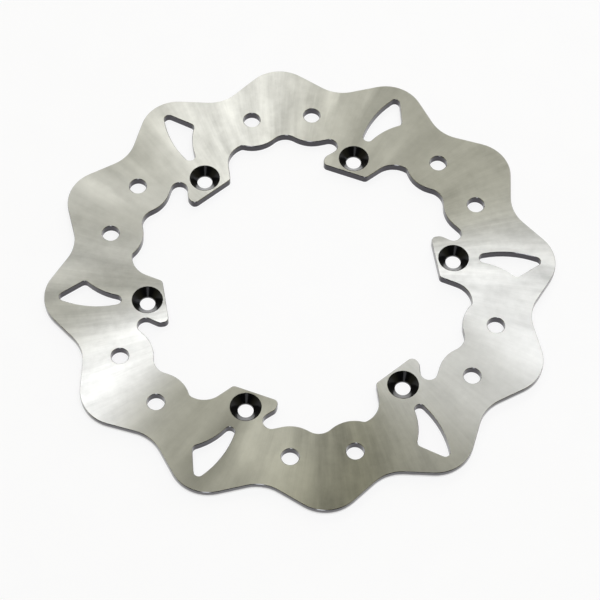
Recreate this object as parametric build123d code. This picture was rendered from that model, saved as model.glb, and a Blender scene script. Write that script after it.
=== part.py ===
"""Rear brake disc with a wave-cut rim, held by six countersunk bolt seats.

Units are millimetres.  Origin at the centre of the flat back face, +Z through the disc towards the
countersunk front face, +X through the first bolt ear.
"""
from build123d import *
from math import acos, atan2, cos, degrees, pi, radians, sin
import os

# ---------------------------------------------------------------- driving dimensions
THICKNESS = 4.0             # ground plate
EDGE_BREAK = 0.2            # chamfer left on every cut edge

SECTORS = 6                 # the whole pattern repeats at each bolt ear
LOBES = 12                  # waves round the rim
RIM_PEAK_R = 110.0          # over the lobes: 220 mm disc
RIM_VALLEY_R = 99.4
RIM_ROUND = 16.6            # radius of each lobe and each valley
HOLE_MIDDLE = 26.3          # degrees from an ear to the middle of the next pair of small holes

BOLT_CIRCLE_R = 66.5        # 133 mm bolt circle

SMALL_HOLE_CIRCLE_R = 85.4
SMALL_HOLE_R = 3.75
SMALL_HOLE_SPREAD = 9.05    # degrees each side of the pair's middle
BULGE_R = 14.2              # inner edge swells round each small hole
DIP_R = 7.0                 # hollow between the two swells of a pair
DIP_FLOOR_R = 74.9          # distance of that hollow from the disc centre

EAR_INNER_X = 58.85         # straight inner end of an ear
EAR_TOP_Y = 12.05           # toe side of the ear
NOTCH_CENTRE = (68.85, 12.35)
NOTCH_R = 3.6               # round notch behind the toe
BAY_CENTRE = (60.1, -21.0)
BAY_R = 10.05               # sweep that runs from the pair of holes down to the ear

SLOT_HEEL = (79.7, -2.1)    # end nearest the bolt
SLOT_HEEL_R = 2.3
SLOT_ELBOW = (92.0, -11.4)
SLOT_ELBOW_R = 2.1
SLOT_TIP = (101.2, -7.2)    # end nearest the rim
SLOT_TIP_R = 2.1
SLOT_BACK_R = 40.0          # long outward bow
SLOT_BELLY_R = 28.0         # short inward bow

# countersunk seat for an M6 flat-head screw
SEAT_OUTER_R = 6.65
SEAT_MOUTH_R = 6.45         # 90 degree cone starts here
SEAT_BORE_R = 3.3           # M6 medium clearance hole
SEAT_LAND = 0.8             # straight band under the front face
SEAT_SHANK_R = 4.75         # straight part at the back


# ---------------------------------------------------------------- small helpers
def polar(radius, angle):
    return Vector(radius * cos(radians(angle)), radius * sin(radians(angle)))


def turned(point, angle):
    return Vector(point).rotate(Axis.Z, angle)


def touching(first, first_reach, second, second_reach):
    """Point at the two given distances from two others, on the left going from first to second."""
    a = Vector(first)
    gap = Vector(second) - a
    along = (gap.length**2 + first_reach**2 - second_reach**2) / (2 * gap.length)
    aside = (first_reach**2 - along**2) ** 0.5
    return a + gap.normalized() * along + gap.normalized().rotate(Axis.Z, 90) * aside


def belt(rounds):
    """Face bounded by arcs about (centre, radius) pairs and the straight lines that join them.

    The edge runs anticlockwise; a positive radius turns it left and a negative one turns it right.
    """
    count = len(rounds)
    arrive = [None] * count
    leave = [None] * count
    for i, (here, a) in enumerate(rounds):
        j = (i + 1) % count
        there, b = rounds[j]
        gap = there - here
        lean = acos(max(-1.0, min(1.0, (b - a) / gap.length)))
        normal = gap.normalized().rotate(Axis.Z, degrees(lean))
        leave[i] = here - normal * a
        arrive[j] = there - normal * b
        if (arrive[j] - leave[i]).length < 0.01:
            arrive[j] = leave[i]
    edges = []
    for i, (centre, radius) in enumerate(rounds):
        begin = arrive[i] - centre
        finish = leave[i] - centre
        start_angle = atan2(begin.Y, begin.X)
        sweep = (atan2(finish.Y, finish.X) - start_angle) % (2 * pi)
        if radius < 0:
            sweep -= 2 * pi
        middle = centre + polar(abs(radius), degrees(start_angle + sweep / 2))
        edges.append(Edge.make_three_point_arc(arrive[i], middle, leave[i]))
        onward = arrive[(i + 1) % count]
        if onward is not leave[i]:
            edges.append(Edge.make_line(leave[i], onward))
    return Face(Wire(edges))


# ---------------------------------------------------------------- outlines
def rim_face():
    rounds = []
    for lobe in range(LOBES):
        angle = HOLE_MIDDLE + lobe * 360 / LOBES
        rounds.append((polar(RIM_PEAK_R - RIM_ROUND, angle), RIM_ROUND))
        rounds.append((polar(RIM_VALLEY_R + RIM_ROUND, angle + 180 / LOBES), -RIM_ROUND))
    return belt(rounds)


def window_face():
    """Open middle of the disc: bays, six bolt ears and the swells round the small holes."""
    step = 360 / SECTORS
    before = polar(SMALL_HOLE_CIRCLE_R, HOLE_MIDDLE + SMALL_HOLE_SPREAD - step)
    after = polar(SMALL_HOLE_CIRCLE_R, HOLE_MIDDLE - SMALL_HOLE_SPREAD)
    corner_r = 2.0
    corner = touching(BAY_CENTRE, BAY_R - corner_r, before, BULGE_R + corner_r)
    sector = [
        (before, -BULGE_R),
        (corner, corner_r),
        (Vector(BAY_CENTRE), BAY_R),
        (Vector(EAR_INNER_X + 2.0, -7.25), -2.0),
        (Vector(EAR_INNER_X + 2.3, EAR_TOP_Y - 2.3), -2.3),
        (Vector(62.0, EAR_TOP_Y - 3.5), -3.5),
        (Vector(NOTCH_CENTRE), NOTCH_R),
        (after, -BULGE_R),
        (polar(DIP_FLOOR_R - DIP_R, HOLE_MIDDLE), DIP_R),
    ]
    rounds = []
    for k in range(SECTORS):
        for centre, radius in sector:
            rounds.append((turned(centre, k * step), radius))
    return belt(rounds)


def slot_face():
    back = touching(SLOT_TIP, SLOT_BACK_R - SLOT_TIP_R, SLOT_HEEL, SLOT_BACK_R - SLOT_HEEL_R)
    belly = touching(SLOT_ELBOW, SLOT_BELLY_R + SLOT_ELBOW_R, SLOT_HEEL, SLOT_BELLY_R + SLOT_HEEL_R)
    return belt([
        (Vector(SLOT_HEEL), SLOT_HEEL_R),
        (belly, -SLOT_BELLY_R),
        (Vector(SLOT_ELBOW), SLOT_ELBOW_R),
        (Vector(SLOT_TIP), SLOT_TIP_R),
        (back, SLOT_BACK_R),
    ])


# ---------------------------------------------------------------- solids
def seat_profile():
    """Half section of one seat, radius along X and height along Z."""
    cone_foot = THICKNESS - (SEAT_MOUTH_R - SEAT_BORE_R)
    shank_top = THICKNESS - SEAT_LAND - (SEAT_OUTER_R - SEAT_SHANK_R)
    points = [
        (SEAT_BORE_R, 0),
        (SEAT_SHANK_R, 0),
        (SEAT_SHANK_R, shank_top),
        (SEAT_OUTER_R, THICKNESS - SEAT_LAND),
        (SEAT_OUTER_R, THICKNESS),
        (SEAT_MOUTH_R, THICKNESS),
        (SEAT_BORE_R, cone_foot),
    ]
    return Plane.XZ * make_face(Polyline(*points, close=True))


def seat_pocket_profile():
    """Half section of the stepped bore in the ear that the seat fills."""
    shank_top = THICKNESS - SEAT_LAND - (SEAT_OUTER_R - SEAT_SHANK_R)
    points = [
        (0, 0),
        (SEAT_SHANK_R, 0),
        (SEAT_SHANK_R, shank_top),
        (SEAT_OUTER_R, THICKNESS - SEAT_LAND),
        (SEAT_OUTER_R, THICKNESS),
        (0, THICKNESS),
    ]
    return Plane.XZ * make_face(Polyline(*points, close=True))


def cut_edges(plate):
    """Edges of the plate that lie in its front or back face."""
    front = plate.edges().filter_by_position(Axis.Z, THICKNESS, THICKNESS)
    back = plate.edges().filter_by_position(Axis.Z, 0, 0)
    return front + back


def make_wave_disc():
    outline = rim_face() - window_face()
    small_hole = Circle(SMALL_HOLE_R)
    for k in range(SECTORS):
        turn = k * 360 / SECTORS
        outline -= Rot(0, 0, turn) * slot_face()
        for side in (-1, 1):
            spot = polar(SMALL_HOLE_CIRCLE_R, turn + HOLE_MIDDLE + side * SMALL_HOLE_SPREAD)
            outline -= Pos(spot) * small_hole
    plate = extrude(outline, THICKNESS)
    plate = chamfer(cut_edges(plate), EDGE_BREAK)
    pocket = revolve(seat_pocket_profile(), Axis.Z)
    for k in range(SECTORS):
        plate -= Rot(0, 0, k * 360 / SECTORS) * Pos(BOLT_CIRCLE_R, 0, 0) * pocket
    return plate


def make_seat(index):
    """Black seat of bolt ear number index, counted anticlockwise from +X."""
    return Rot(0, 0, index * 360 / SECTORS) * Pos(BOLT_CIRCLE_R, 0, 0) * revolve(seat_profile(), Axis.Z)


def save(solid, name):
    export_step(solid, os.path.join("parts", name + ".step"))


os.makedirs("parts", exist_ok=True)
save(make_wave_disc(), "wave_disc")
for number in range(SECTORS):
    save(make_seat(number), f"bolt_seat_{number + 1}")
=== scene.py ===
"""Looks of a wave brake disc: ground steel faces, dark cut edges and black bolt seats, on a pale floor."""

from math import cos, pi, radians, sin

import bpy
from mathutils import Matrix, Vector


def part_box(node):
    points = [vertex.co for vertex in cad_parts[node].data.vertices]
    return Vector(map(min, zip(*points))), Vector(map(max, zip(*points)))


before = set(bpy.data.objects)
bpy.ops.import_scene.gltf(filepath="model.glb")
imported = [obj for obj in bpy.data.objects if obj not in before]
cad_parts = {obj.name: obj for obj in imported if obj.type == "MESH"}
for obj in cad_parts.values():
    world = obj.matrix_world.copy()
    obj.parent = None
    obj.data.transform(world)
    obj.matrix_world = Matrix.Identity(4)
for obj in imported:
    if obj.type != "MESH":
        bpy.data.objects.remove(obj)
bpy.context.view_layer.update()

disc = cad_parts["wave_disc"]
seats = [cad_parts[f"bolt_seat_{i}"] for i in range(1, 7)]
low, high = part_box("wave_disc")
FACE_Z = high.z                     # height of the front face
MM = 0.001

# The camera stands turned about the disc's axis by this much, and the lights are placed round it.
TURN = Matrix.Rotation(radians(-11.34), 4, "Z")


# ---------------------------------------------------------------- node helper

class Nodes:
    """Builds the node tree of a material or world. A value may be a number, a colour, or a node's output."""

    def __init__(self, owner):
        owner.use_nodes = True
        self.tree = owner.node_tree
        self.tree.nodes.clear()

    def put(self, socket, value):
        if isinstance(value, bpy.types.NodeSocket):
            self.tree.links.new(value, socket)
        else:
            socket.default_value = value

    def node(self, kind, inputs=None, **settings):
        n = self.tree.nodes.new(kind)
        for key, value in settings.items():
            setattr(n, key, value)
        for key, value in (inputs or {}).items():
            self.put(n.inputs[key], value)
        return n

    def maths(self, operation, *values):
        n = self.node("ShaderNodeMath", operation=operation)
        for socket, value in zip(n.inputs, values):
            self.put(socket, value)
        return n.outputs[0]

    def add(self, a, b):
        return self.maths("ADD", a, b)

    def times(self, a, b):
        return self.maths("MULTIPLY", a, b)

    def length(self, a, b):
        return self.maths("SQRT", self.add(self.times(a, a), self.times(b, b)))

    def total(self, *terms):
        """The sum of each value times its weight."""
        result = self.times(*terms[0])
        for value, weight in terms[1:]:
            result = self.maths("MULTIPLY_ADD", value, weight, result)
        return result

    def steps(self, value, start, end, low=0.0, high=1.0, smooth=True):
        """low on start's side of the range, high on end's side, and a slope between them."""
        n = self.node("ShaderNodeMapRange", {"Value": value, "From Min": start, "From Max": end,
                                             "To Min": low, "To Max": high},
                      interpolation_type="SMOOTHSTEP" if smooth else "LINEAR")
        return n.outputs[0]

    def vector(self, x, y, z):
        return self.node("ShaderNodeCombineXYZ", {"X": x, "Y": y, "Z": z}).outputs[0]

    def parts(self, vector):
        return self.node("ShaderNodeSeparateXYZ", {"Vector": vector}).outputs

    def noise(self, vector, scale, detail=2.0, roughness=0.5):
        """Cloudy noise from 0 to 1."""
        n = self.node("ShaderNodeTexNoise", {"Vector": vector, "Scale": scale, "Detail": detail,
                                             "Roughness": roughness})
        return n.outputs[0]

    def swing(self, vector, scale, detail=2.0, roughness=0.5):
        """The same noise, centred on zero."""
        return self.add(self.noise(vector, scale, detail, roughness), -0.5)

    def mix(self, share, a, b, kind="RGBA"):
        n = self.node("ShaderNodeMix", data_type=kind)
        share_in, a_in, b_in, result = {"RGBA": (0, 6, 7, 2), "FLOAT": (0, 2, 3, 0)}[kind]
        for socket, value in ((share_in, share), (a_in, a), (b_in, b)):
            self.put(n.inputs[socket], value)
        return n.outputs[result]

    def bump(self, height, strength, distance):
        return self.node("ShaderNodeBump", {"Height": height, "Strength": strength,
                                            "Distance": distance}).outputs[0]


def colour(r, g, b):
    return (r, g, b, 1.0)


# ---------------------------------------------------------------- ground steel

# Painted reflections: lighter and darker patches on the ring that stand in for the lamps' bright and dark
# fans. Azimuth and radius of the middle, half width and half length in mm, and how much lighter.
PAINTED_REFLECTIONS = [
    (248, 80, 11, 13, 0.50),
    (257, 98, 11, 15, 0.55),
    (268, 92, 7, 35, -0.30),
    (238, 90, 8, 30, -0.40),
    (191, 92, 5, 30, 0.25),
    (184, 92, 5, 30, -0.20),
    (145, 98, 4, 10, 0.25),
    (129, 98, 5, 10, -0.25),
    (120, 98, 4, 12, 0.25),
    (87, 81, 4, 10, -0.20),
    (73, 98, 3, 11, 0.35),
    (61, 92, 5, 30, -0.25),
    (7, 99, 5, 11, -0.45),
    (-5, 98, 5, 9, -0.25),
]
PATCH_SOFTNESS = 0.5

ARC_LEAN = 1.2                      # radians that a mark turns in each metre outwards
ARC_RADIUS = 86 * MM                # where a mark's azimuth is counted
CALM_PLACES = 4                        # places round the ring where the marks are toned down, near the bright reflection fans
CALM_AZIMUTH = radians(140)         # middle of one calm place

RIM_WALL = (104.5 * MM, 105.5 * MM)     # every wall beyond this is the rim's
VALLEY_WALL = (96.5 * MM, 98.0 * MM)    # between lobes the rim comes in to here
SLOT_PITCH = radians(30)                # half the angle from one slot to the next
SLOT_MIDDLE = radians(-4.5)
SLOT_REACH = (radians(4.5), radians(5.5))
FOOT_PALING = (2.3 * MM, 0.7 * MM)          # height where it begins, and where it is full
FOOT_WAVER = 0.8 * MM

FACE_SHADES = colour(0.27, 0.27, 0.26), colour(0.95, 0.95, 0.94)
WALL_SHADES = colour(0.044, 0.042, 0.048), colour(0.092, 0.088, 0.097)
EDGE_SHADES = colour(0.40, 0.40, 0.40), colour(0.60, 0.60, 0.59)
PALE_WALL_SHADE = colour(0.85, 0.85, 0.84)
RIM_PALING = 0.08                    # how far the whole rim wall goes towards the pale shade


def ground_steel():
    """Ground faces with curved radial marks and painted reflection fans, dark cut walls, and a paler line
    along the broken edges.
    """
    material = bpy.data.materials.new("ground_steel")
    t = Nodes(material)
    place = t.node("ShaderNodeTexCoord").outputs["Object"]
    x, y, z = t.parts(place)
    r = t.length(x, y)
    angle = t.maths("ARCTAN2", y, x)

    # The front and back faces lie flat, the walls stand upright, and the broken edges slope between.
    facing = t.maths("ABSOLUTE", t.parts(t.node("ShaderNodeNewGeometry").outputs["True Normal"])["Z"])
    flat = t.steps(facing, 0.90, 0.97)
    edge = t.times(t.steps(facing, 0.25, 0.45), t.steps(facing, 0.97, 0.90))

    # The wheel's arcs cross the ring leaning a little from the radius.
    arc = t.add(angle, t.times(t.add(r, -ARC_RADIUS), ARC_LEAN))
    around_x, around_y = t.maths("COSINE", arc), t.maths("SINE", arc)

    def marks(around, along, detail=2.0, roughness=0.5):
        """Streaks along the arcs: around is how many fit in a radian, along how many fit in a metre."""
        where = t.vector(t.times(around_x, around), t.times(around_y, around), t.times(r, along))
        return t.swing(where, 1.0, detail, roughness)

    fine = marks(150, 110, 3.0, 0.6)
    medium = marks(42, 45)
    broad = marks(11, 26)
    clouds = t.swing(place, 70.0)
    grain = t.swing(place, 330.0, 3.0, 0.65)

    # Painted reflections: each is a soft-ended lighter or darker place lying along the marks, standing in
    # for a lamp's bright or dark fan.
    drift = t.total((arc, 1.0), (broad, 0.05), (medium, 0.02), (grain, 0.01))
    ragged = t.total((r, 1.0), (clouds, 8 * MM), (medium, 5 * MM))

    def reflection_patch(azimuth, radius, half_width, half_length):
        off = t.maths("WRAP", t.add(drift, -radians(azimuth)), pi, -pi)
        across = t.times(off, radius / half_width)
        along = t.times(t.add(ragged, -radius * MM), 1 / (half_length * MM))
        return t.steps(t.length(across, along), 1 + PATCH_SOFTNESS, 1 - PATCH_SOFTNESS)

    reflection_paint = t.total(*[(reflection_patch(*where), amount) for *where, amount in PAINTED_REFLECTIONS])

    # Painted light: in four places round the ring, near where the bright reflection fans fall, the marks are
    # toned down as if washed out by the highlight, and between them they are busier.
    calm_wave = t.maths("COSINE", t.add(t.times(angle, CALM_PLACES), -CALM_PLACES * CALM_AZIMUTH))
    busy = t.steps(t.total((calm_wave, 1.0), (clouds, 2.0)), 1.2, -1.2, low=0.45, high=1.2)
    lines = t.total((fine, 0.26), (medium, 0.42), (broad, 1.15), (grain, 0.30))
    # The face colour holds the real marks together with the painted reflections.
    marks_and_painted_reflections = t.total((lines, busy), (clouds, 0.50), (grain, 0.14), (reflection_paint, 1.0))
    face_colour = t.mix(t.steps(marks_and_painted_reflections, -1.0, 1.0, smooth=False), *FACE_SHADES)

    # Walls are dark from the cutting; round the rim they are paler towards the foot.
    wall_noise = t.noise(t.vector(x, y, t.times(z, 6.0)), 420.0, 3.0, 0.6)
    wall_swing = t.add(wall_noise, -0.5)
    from_slot = t.maths("ABSOLUTE", t.maths("WRAP", t.add(angle, -SLOT_MIDDLE), SLOT_PITCH, -SLOT_PITCH))
    in_valley = t.times(t.steps(r, *VALLEY_WALL), t.steps(from_slot, *SLOT_REACH))
    on_rim = t.maths("MAXIMUM", t.steps(r, *RIM_WALL), in_valley)
    wavering = t.add(z, t.times(wall_swing, FOOT_WAVER))
    pale_foot = t.times(t.steps(wavering, *FOOT_PALING), on_rim)
    wall_colour = t.mix(wall_noise, *WALL_SHADES)
    wall_colour = t.mix(t.times(on_rim, RIM_PALING), wall_colour, PALE_WALL_SHADE)
    wall_colour = t.mix(pale_foot, wall_colour, PALE_WALL_SHADE)
    edge_colour = t.mix(t.add(grain, 0.5), *EDGE_SHADES)

    base = t.mix(edge, t.mix(flat, wall_colour, face_colour), edge_colour)

    rough_face = t.add(0.325, t.times(marks_and_painted_reflections, -0.06))
    rough_wall = t.add(0.10, t.times(wall_swing, 0.06))
    rough = t.mix(flat, rough_wall, rough_face, kind="FLOAT")

    face_relief = t.total((fine, 0.7), (medium, 0.3), (grain, 0.2))
    relief = t.mix(flat, t.times(wall_noise, 0.6), face_relief, kind="FLOAT")

    # Highlights stretch across the marks, which run outwards, so the shader's tangent turns about Z.
    tangent = t.node("ShaderNodeTangent", direction_type="RADIAL", axis="Z").outputs[0]
    steel = t.node("ShaderNodeBsdfPrincipled", {
        "Base Color": base, "Metallic": 1.0, "Roughness": rough, "Anisotropic": 0.97,
        "Normal": t.bump(relief, 0.08, 0.05 * MM), "Tangent": tangent})
    t.node("ShaderNodeOutputMaterial", {"Surface": steel.outputs[0]})
    return material


# ---------------------------------------------------------------- black seats and floor

SEAT_SHADES = colour(0.001, 0.001, 0.0012), colour(0.006, 0.006, 0.0065)
FLOOR_SHADES = colour(0.19, 0.19, 0.19), colour(0.21, 0.21, 0.21)
FLOOR_GLOW = colour(0.991, 0.99, 0.995)


def black_seat(index):
    """Gloss black, turned: fine rings round the seat's own axis."""
    material = bpy.data.materials.new(f"black_seat_{index}")
    t = Nodes(material)
    seat_low, seat_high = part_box(f"bolt_seat_{index}")
    middle = (seat_low + seat_high) / 2
    place = t.node("ShaderNodeTexCoord").outputs["Object"]
    x, y, z = t.parts(place)
    r = t.length(t.add(x, -middle.x), t.add(y, -middle.y))
    rings = t.swing(t.vector(r, z, 0.0), 9000.0, 2.0, 0.6)
    dust = t.swing(place, 1400.0, 3.0, 0.6)
    shade = t.add(t.total((dust, 0.6), (rings, 0.4)), 0.5)
    paint = t.node("ShaderNodeBsdfPrincipled", {
        "Base Color": t.mix(shade, *SEAT_SHADES), "Metallic": 0.0,
        "Roughness": t.add(0.12, t.times(dust, 0.06)), "IOR": 1.2,
        "Normal": t.bump(t.total((rings, 0.8), (dust, 0.2)), 0.15, 0.02 * MM),
        "Coat Weight": 1.0, "Coat Roughness": 0.12, "Coat IOR": 1.32,
        "Sheen Weight": 1.0, "Sheen Roughness": 0.25})
    t.node("ShaderNodeOutputMaterial", {"Surface": paint.outputs[0]})
    return material


def pale_floor():
    """Matt paper that glows, so that it stays an even white with hardly any shadow."""
    material = bpy.data.materials.new("pale_floor")
    t = Nodes(material)
    grain = t.noise(t.node("ShaderNodeTexCoord").outputs["Object"], 60.0, 3.0, 0.6)
    paper = t.node("ShaderNodeBsdfPrincipled", {
        "Base Color": t.mix(grain, *FLOOR_SHADES), "Roughness": 0.9, "Specular IOR Level": 0.0,
        "Emission Color": FLOOR_GLOW, "Emission Strength": 0.83})
    t.node("ShaderNodeOutputMaterial", {"Surface": paper.outputs[0]})
    return material


def dress(piece, material):
    piece.data.materials.clear()
    piece.data.materials.append(material)


dress(disc, ground_steel())
for number, seat in enumerate(seats, 1):
    dress(seat, black_seat(number))


# ---------------------------------------------------------------- floor

FLOOR_HALF = 3.0
FLOOR_GAP = 0.02 * MM               # keeps the floor clear of the disc's back face


def make_floor():
    corners = [(-FLOOR_HALF, -FLOOR_HALF, 0), (FLOOR_HALF, -FLOOR_HALF, 0),
               (FLOOR_HALF, FLOOR_HALF, 0), (-FLOOR_HALF, FLOOR_HALF, 0)]
    mesh = bpy.data.meshes.new("floor")
    mesh.from_pydata(corners, [], [(0, 1, 2, 3)])
    floor = bpy.data.objects.new("floor", mesh)
    bpy.context.scene.collection.objects.link(floor)
    floor.location.z = low.z - FLOOR_GAP
    dress(floor, pale_floor())


make_floor()


# ---------------------------------------------------------------- lights

LAMP_DISTANCE = 1.0
COOL_TINT = (0.985, 1.0, 1.07)
WARM_TINT = (1.0, 1.0, 0.97)

# Azimuth from the camera's right towards its far side, elevation, width, height, radiance and tint.
LIGHTS = [
    ("window", 65, 20, 0.25, 0.90, 2.5, COOL_TINT),
    ("strip_right", 335, 78, 0.10, 0.45, 21.0, COOL_TINT),
    ("strip_left", 205, 75, 0.25, 0.15, 4.5, COOL_TINT),
    ("panel_left", 175, 65, 0.25, 0.10, 4.5, COOL_TINT),
    ("panel_far", 80, 35, 0.10, 0.20, 3.0, COOL_TINT),
    ("ceiling", 110, 55, 0.90, 0.35, 1.1, WARM_TINT),
    ("card_front", 265, 30, 0.25, 0.30, 1.3, COOL_TINT),
]


def softbox(name, azimuth, elevation, width, height, radiance, tint):
    """A plain rectangular lamp aimed at the disc."""
    lamp = bpy.data.lights.new(name, "AREA")
    lamp.shape = "RECTANGLE"
    lamp.size, lamp.size_y = width, height
    lamp.energy = radiance * pi * width * height
    lamp.color = tint
    obj = bpy.data.objects.new(name, lamp)
    bpy.context.scene.collection.objects.link(obj)
    a, e = radians(azimuth), radians(elevation)
    away = Vector((cos(a) * cos(e), sin(a) * cos(e), sin(e)))
    aim = away.to_track_quat("Z", "Y").to_matrix().to_4x4()
    obj.matrix_world = TURN @ Matrix.Translation(away * LAMP_DISTANCE) @ aim
    obj.visible_camera = False


for light in LIGHTS:
    softbox(*light)

PHOTOGRAPHER = (0, -0.86, 0.51)     # towards the dark side of the room, before the turn
ROOM_SHADE = colour(0.25, 0.24, 0.145)
DARK_SHADE = colour(0.02, 0.02, 0.02)
SKIRTING_SHADE = colour(0.62, 0.62, 0.60)


def make_world():
    """A warm, even room, paler along its skirting, dark on the side where the photographer stands."""
    world = bpy.data.worlds.new("studio")
    bpy.context.scene.world = world
    t = Nodes(world)
    where = t.node("ShaderNodeTexCoord").outputs["Generated"]
    behind = t.node("ShaderNodeVectorMath", {0: where, 1: TURN.to_3x3() @ Vector(PHOTOGRAPHER)},
                    operation="DOT_PRODUCT").outputs["Value"]
    room = t.mix(t.steps(behind, 0.55, 0.85, smooth=False), ROOM_SHADE, DARK_SHADE)
    room = t.mix(t.steps(t.parts(where)["Z"], 0.34, 0.16), room, SKIRTING_SHADE)
    background = t.node("ShaderNodeBackground", {"Color": room, "Strength": 1.0})
    t.node("ShaderNodeOutputWorld", {"Surface": background.outputs[0]})


make_world()


# ---------------------------------------------------------------- camera

TILT, ROLL = radians(30.84), radians(1.99)
STAND = Vector((-0.0004, -0.5309, 0.8764 + FACE_Z))


def make_camera():
    data = bpy.data.cameras.new("camera")
    data.sensor_width = 36.0
    data.lens = 143.6
    data.shift_y = -0.01
    data.clip_start, data.clip_end = 0.05, 20.0
    camera = bpy.data.objects.new("camera", data)
    bpy.context.scene.collection.objects.link(camera)
    aim = Matrix.Rotation(TILT, 4, "X") @ Matrix.Rotation(ROLL, 4, "Z")
    camera.matrix_world = TURN @ Matrix.Translation(STAND) @ aim
    bpy.context.scene.camera = camera


make_camera()
bpy.context.scene.view_settings.view_transform = "Standard"
